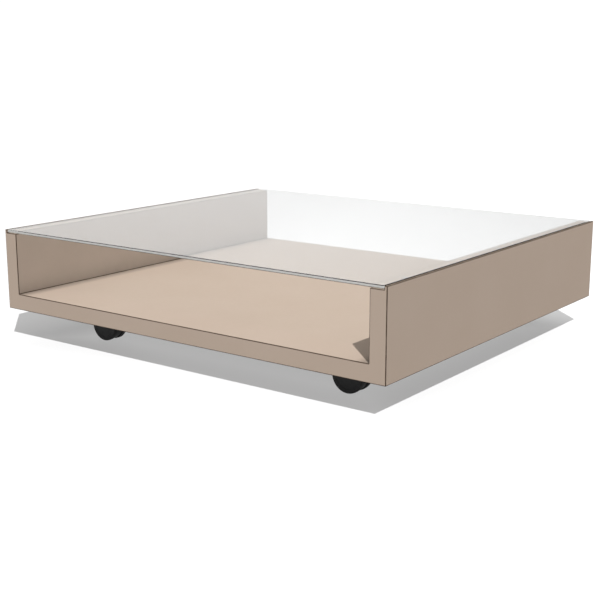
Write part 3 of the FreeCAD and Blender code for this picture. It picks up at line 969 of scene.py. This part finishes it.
@dataclass
class Joinery:
    """The hidden fittings that hold the boards and the casters: dowels, bolts, cams and stem sockets."""

    dowel_segments: int = 96
    flutes: int = 16
    flute_depth: float = 0.25 * MM
    dowel_chamfer: float = 0.8 * MM
    beech: Beech = Beech()
    zinc: Metal = Metal(
        "die_cast_zinc", (0.52, 0.52, 0.50), (0.38, 0.38, 0.37), (0.34, 0.52), Grain(1500.0),
    )
    steel: Metal = Metal(
        "zinc_plated_steel", (0.60, 0.61, 0.63), (0.45, 0.45, 0.44), (0.22, 0.40),
        Grain(1500.0, 3.0, (1.0, 1.0, 6.0)),
    )

    def build(self) -> None:
        """Make the dowels and finish the other fittings."""
        wood, cast, plated = self.beech.material(), self.zinc.material(), self.steel.material()
        for side in Side:
            self.build_dowels(side, wood)
            dress_node("cam_locks_" + side.value, cast)
            dress_node("cam_bolts_" + side.value, plated)
        for corner in Corner:
            dress_node(corner.value + "_socket", plated)

    def build_dowels(self, side: Side, wood: bpy.types.Material) -> None:
        """One side's dowels: rods along X with chamfered ends and shallow flutes all round.

        Args:
            side: The side that they hold.
            wood: Their finish.
        """
        node = "dowels_" + side.value
        low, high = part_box(node)
        radius, half = (high.z - low.z) / 2, (high.x - low.x) / 2
        tip = radius - self.dowel_chamfer
        shoulder = half - self.dowel_chamfer
        profile = np.array([
            (0, -half), (tip, -half), (radius, -shoulder), (radius, shoulder), (tip, half), (0, half),
        ])
        rod = turned(profile, self.dowel_segments, self.flute_depth, self.flutes)[..., [2, 0, 1]]
        rods = [surface(f"{node}_{n}", rod + np.array(m)) for n, m in enumerate(solid_middles(node))]
        settle(joined(rods, "fluted_" + node), wood, "box", node)


@dataclass
class CasterFinishes:
    """The materials that all four casters share."""

    body: bpy.types.Material
    wheel: bpy.types.Material
    rubber: bpy.types.Material
    steel: bpy.types.Material

    @classmethod
    def mixed(cls) -> "CasterFinishes":
        """Make the four materials once."""
        body = MouldedPlastic(
            "caster_plastic", (0.005, 0.005, 0.0052), (0.020, 0.019, 0.018), (0.48, 0.63),
            Grain(2200.0, 2.0), 0.03 * MM,
        )
        wheel = MouldedPlastic(
            "wheel_plastic", (0.006, 0.006, 0.0063), (0.016, 0.0155, 0.015), (0.43, 0.58),
            Grain(2600.0, 2.0), 0.02 * MM,
        )
        steel = Metal(
            "bright_steel", (0.56, 0.56, 0.57), (0.40, 0.40, 0.40), (0.16, 0.34),
            Grain(1500.0, 3.0, (1.0, 1.0, 8.0)),
        )
        return cls(body.material(), wheel.material(), TreadRubber().material(), steel.material())


@dataclass
class Caster:
    """One twin-wheel swivel caster. All but its two treads keep their CAD shapes."""

    corner: Corner
    finishes: CasterFinishes
    tread_segments: int = 144
    width_points: int = 41
    crown: float = 0.25 * MM
    shoulder: float = 0.8 * MM
    seam: float = 0.12 * MM
    seam_half_width: float = 0.35 * MM

    def build(self) -> None:
        """Finish the CAD pieces and make both treads."""
        name = self.corner.value
        dress_node(name + "_swivel_body", self.finishes.body)
        for piece in ("stem", "stem_ring", "axle"):
            dress_node(f"{name}_{piece}", self.finishes.steel)
        for wheel in Wheel:
            dress_node(f"{name}_{wheel.value}_wheel", self.finishes.wheel)
            self.build_tread(wheel)

    def build_tread(self, wheel: Wheel) -> None:
        """A soft ring: crowned across its width, round at the shoulders, with a low moulding seam.

        Across the width s, from -1 to 1, the outer radius is the full radius less the crown times s
        squared, less a quarter ellipse near each edge, less the seam's height, plus a narrow bell at the
        middle for the seam.

        Args:
            wheel: The wheel that it is on.
        """
        core = f"{self.corner.value}_{wheel.value}_wheel"
        node = f"{self.corner.value}_{wheel.value}_tread"
        low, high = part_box(node)
        core_low, core_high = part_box(core)
        radius, half = (high.x - low.x) / 2, (high.y - low.y) / 2
        inner = (core_high.x - core_low.x) / 2 - KEY_HEIGHT
        across = np.sin(np.linspace(-np.pi / 2, np.pi / 2, self.width_points)) * half
        share = across / half
        edge = np.clip((np.abs(across) - (half - self.shoulder)) / self.shoulder, 0, 1)
        falls = self.shoulder * (1 - np.sqrt(1 - edge**2))
        bell = self.seam * np.exp(-((across / self.seam_half_width) ** 2))
        outer = radius - self.seam - self.crown * share**2 - falls + bell
        key = KEY_WIDTH / 2
        inside = np.array([
            (inner, half), (inner, key), (inner + KEY_HEIGHT, key),
            (inner + KEY_HEIGHT, -key), (inner, -key), (inner, -half),
        ])
        profile = np.vstack([np.column_stack([outer, across]), inside])
        ring = turned(profile, self.tread_segments)[..., [0, 2, 1]]
        name = node.replace("tread", "soft_tread")
        tread = surface(name, ring + np.array((low + high) / 2), close_rows=True)
        settle(tread, self.finishes.rubber, core, node)


# ---------------------------------------------------------------- the studio


@dataclass
class Studio:
    """A pale floor, a soft surrounding sky, one sun and the camera."""

    floor_half: float = 60.0        # half the sheet's width
    camera_place: Triple = (1.2512, -1.7008, 0.5492)
    camera_turn: float = 36.652     # degrees to the left of straight back
    camera_dip: float = 12.905      # degrees below level
    camera_lens: float = 67.164     # millimetres, as is the sensor's width
    camera_sensor: float = 36.0
    camera_reach: float = 500.0     # how far the camera sees
    sun_from: Triple = (0.7218, -0.6799, 1.0)
    sun_strength: float = 6.3
    sun_size: float = 0.6           # degrees across
    backdrop: float = 1.05
    bright_side: float = 0.85       # the sky's strength near the horizon, on its brighter side
    dim_side: float = 0.02
    dim_towards: Triple = (0.95, 0.30, 0.0)
    dim_span: Span = (-0.4, 0.5)    # how far a view turns that way, from the brighter side to the dimmer
    overhead: float = 1.15
    overhead_span: Span = (0.4, 0.95)   # the same, from the horizon's strength to the one overhead

    def build(self) -> None:
        """Set up the floor, the lights and the camera."""
        bpy.context.scene.view_settings.view_transform = "Standard"
        self.build_floor()
        self.build_sky()
        self.build_sun()
        self.build_camera()

    def build_floor(self) -> None:
        """A large flat sheet at floor level, not part of the object."""
        line = np.array([-self.floor_half, self.floor_half])
        x, y = np.meshgrid(line, line, indexing="ij")
        floor = surface("studio_floor", np.stack([x, y, 0 * x], -1), close_columns=False)
        if floor.data.polygons[0].normal.z < 0:
            floor.data.flip_normals()
        far = cad_box[1]
        dress(floor, PaleFloor((far[0], far[1])).material())

    def build_sky(self) -> None:
        """A white backdrop, and a light that is dimmer on one side and brightest overhead."""
        world = bpy.data.worlds.new("studio_sky")
        bpy.context.scene.world = world
        world.use_nodes = True
        nodes, links = world.node_tree.nodes, world.node_tree.links
        nodes.clear()
        way = nodes.new("ShaderNodeTexCoord")

        def ramp(towards: Sequence[float], limits: Sequence[Value]) -> Socket:
            """A value that changes smoothly with how far a view turns towards one direction.

            Args:
                towards: The direction.
                limits: The turn's low and high ends, and the value at each of them.

            Returns:
                The value.
            """
            turn = nodes.new("ShaderNodeVectorMath")
            turn.operation = "DOT_PRODUCT"
            turn.inputs[1].default_value = towards
            links.new(way.outputs["Generated"], turn.inputs[0])
            shade = nodes.new("ShaderNodeMapRange")
            shade.interpolation_type = "SMOOTHSTEP"
            links.new(turn.outputs["Value"], shade.inputs["Value"])
            for name, value in zip(("From Min", "From Max", "To Min", "To Max"), limits, strict=True):
                if isinstance(value, bpy.types.NodeSocket):
                    links.new(value, shade.inputs[name])
                else:
                    shade.inputs[name].default_value = value
            return shade.outputs[0]

        level = ramp(self.dim_towards, (*self.dim_span, self.bright_side, self.dim_side))
        strength = ramp((0.0, 0.0, 1.0), (*self.overhead_span, level, self.overhead))
        around = nodes.new("ShaderNodeBackground")
        links.new(strength, around.inputs["Strength"])
        behind = nodes.new("ShaderNodeBackground")
        behind.inputs["Strength"].default_value = self.backdrop
        for background in (around, behind):
            background.inputs["Color"].default_value = (1, 1, 1, 1)
        path = nodes.new("ShaderNodeLightPath")
        choice = nodes.new("ShaderNodeMixShader")
        links.new(path.outputs["Is Camera Ray"], choice.inputs[0])
        links.new(around.outputs[0], choice.inputs[1])
        links.new(behind.outputs[0], choice.inputs[2])
        output = nodes.new("ShaderNodeOutputWorld")
        links.new(choice.outputs[0], output.inputs["Surface"])

    def build_sun(self) -> None:
        """One soft-edged sun from the front right."""
        data = bpy.data.lights.new("key_sun", "SUN")
        data.energy = self.sun_strength
        data.angle = math.radians(self.sun_size)
        sun = bpy.data.objects.new("key_sun", data)
        sun.rotation_mode = "QUATERNION"
        sun.rotation_quaternion = Vector(self.sun_from).to_track_quat("Z", "Y")
        bpy.context.scene.collection.objects.link(sun)

    def build_camera(self) -> None:
        """The camera, standing at the front right and looking slightly down."""
        data = bpy.data.cameras.new("camera")
        data.lens = self.camera_lens
        data.sensor_width = self.camera_sensor
        data.clip_end = self.camera_reach
        camera = bpy.data.objects.new("camera", data)
        camera.location = self.camera_place
        camera.rotation_euler = (math.radians(90 - self.camera_dip), 0, math.radians(self.camera_turn))
        bpy.context.scene.collection.objects.link(camera)
        bpy.context.scene.camera = camera


def main() -> None:
    """Build the box, its casters and the studio, in that order."""
    logging.basicConfig(level=logging.INFO, format="%(message)s")
    Studio().build()
    Boards().build()
    GlassTop().build()
    Joinery().build()
    finishes = CasterFinishes.mixed()
    for corner in Corner:
        Caster(corner, finishes).build()


if __name__ == "__main__":
    main()
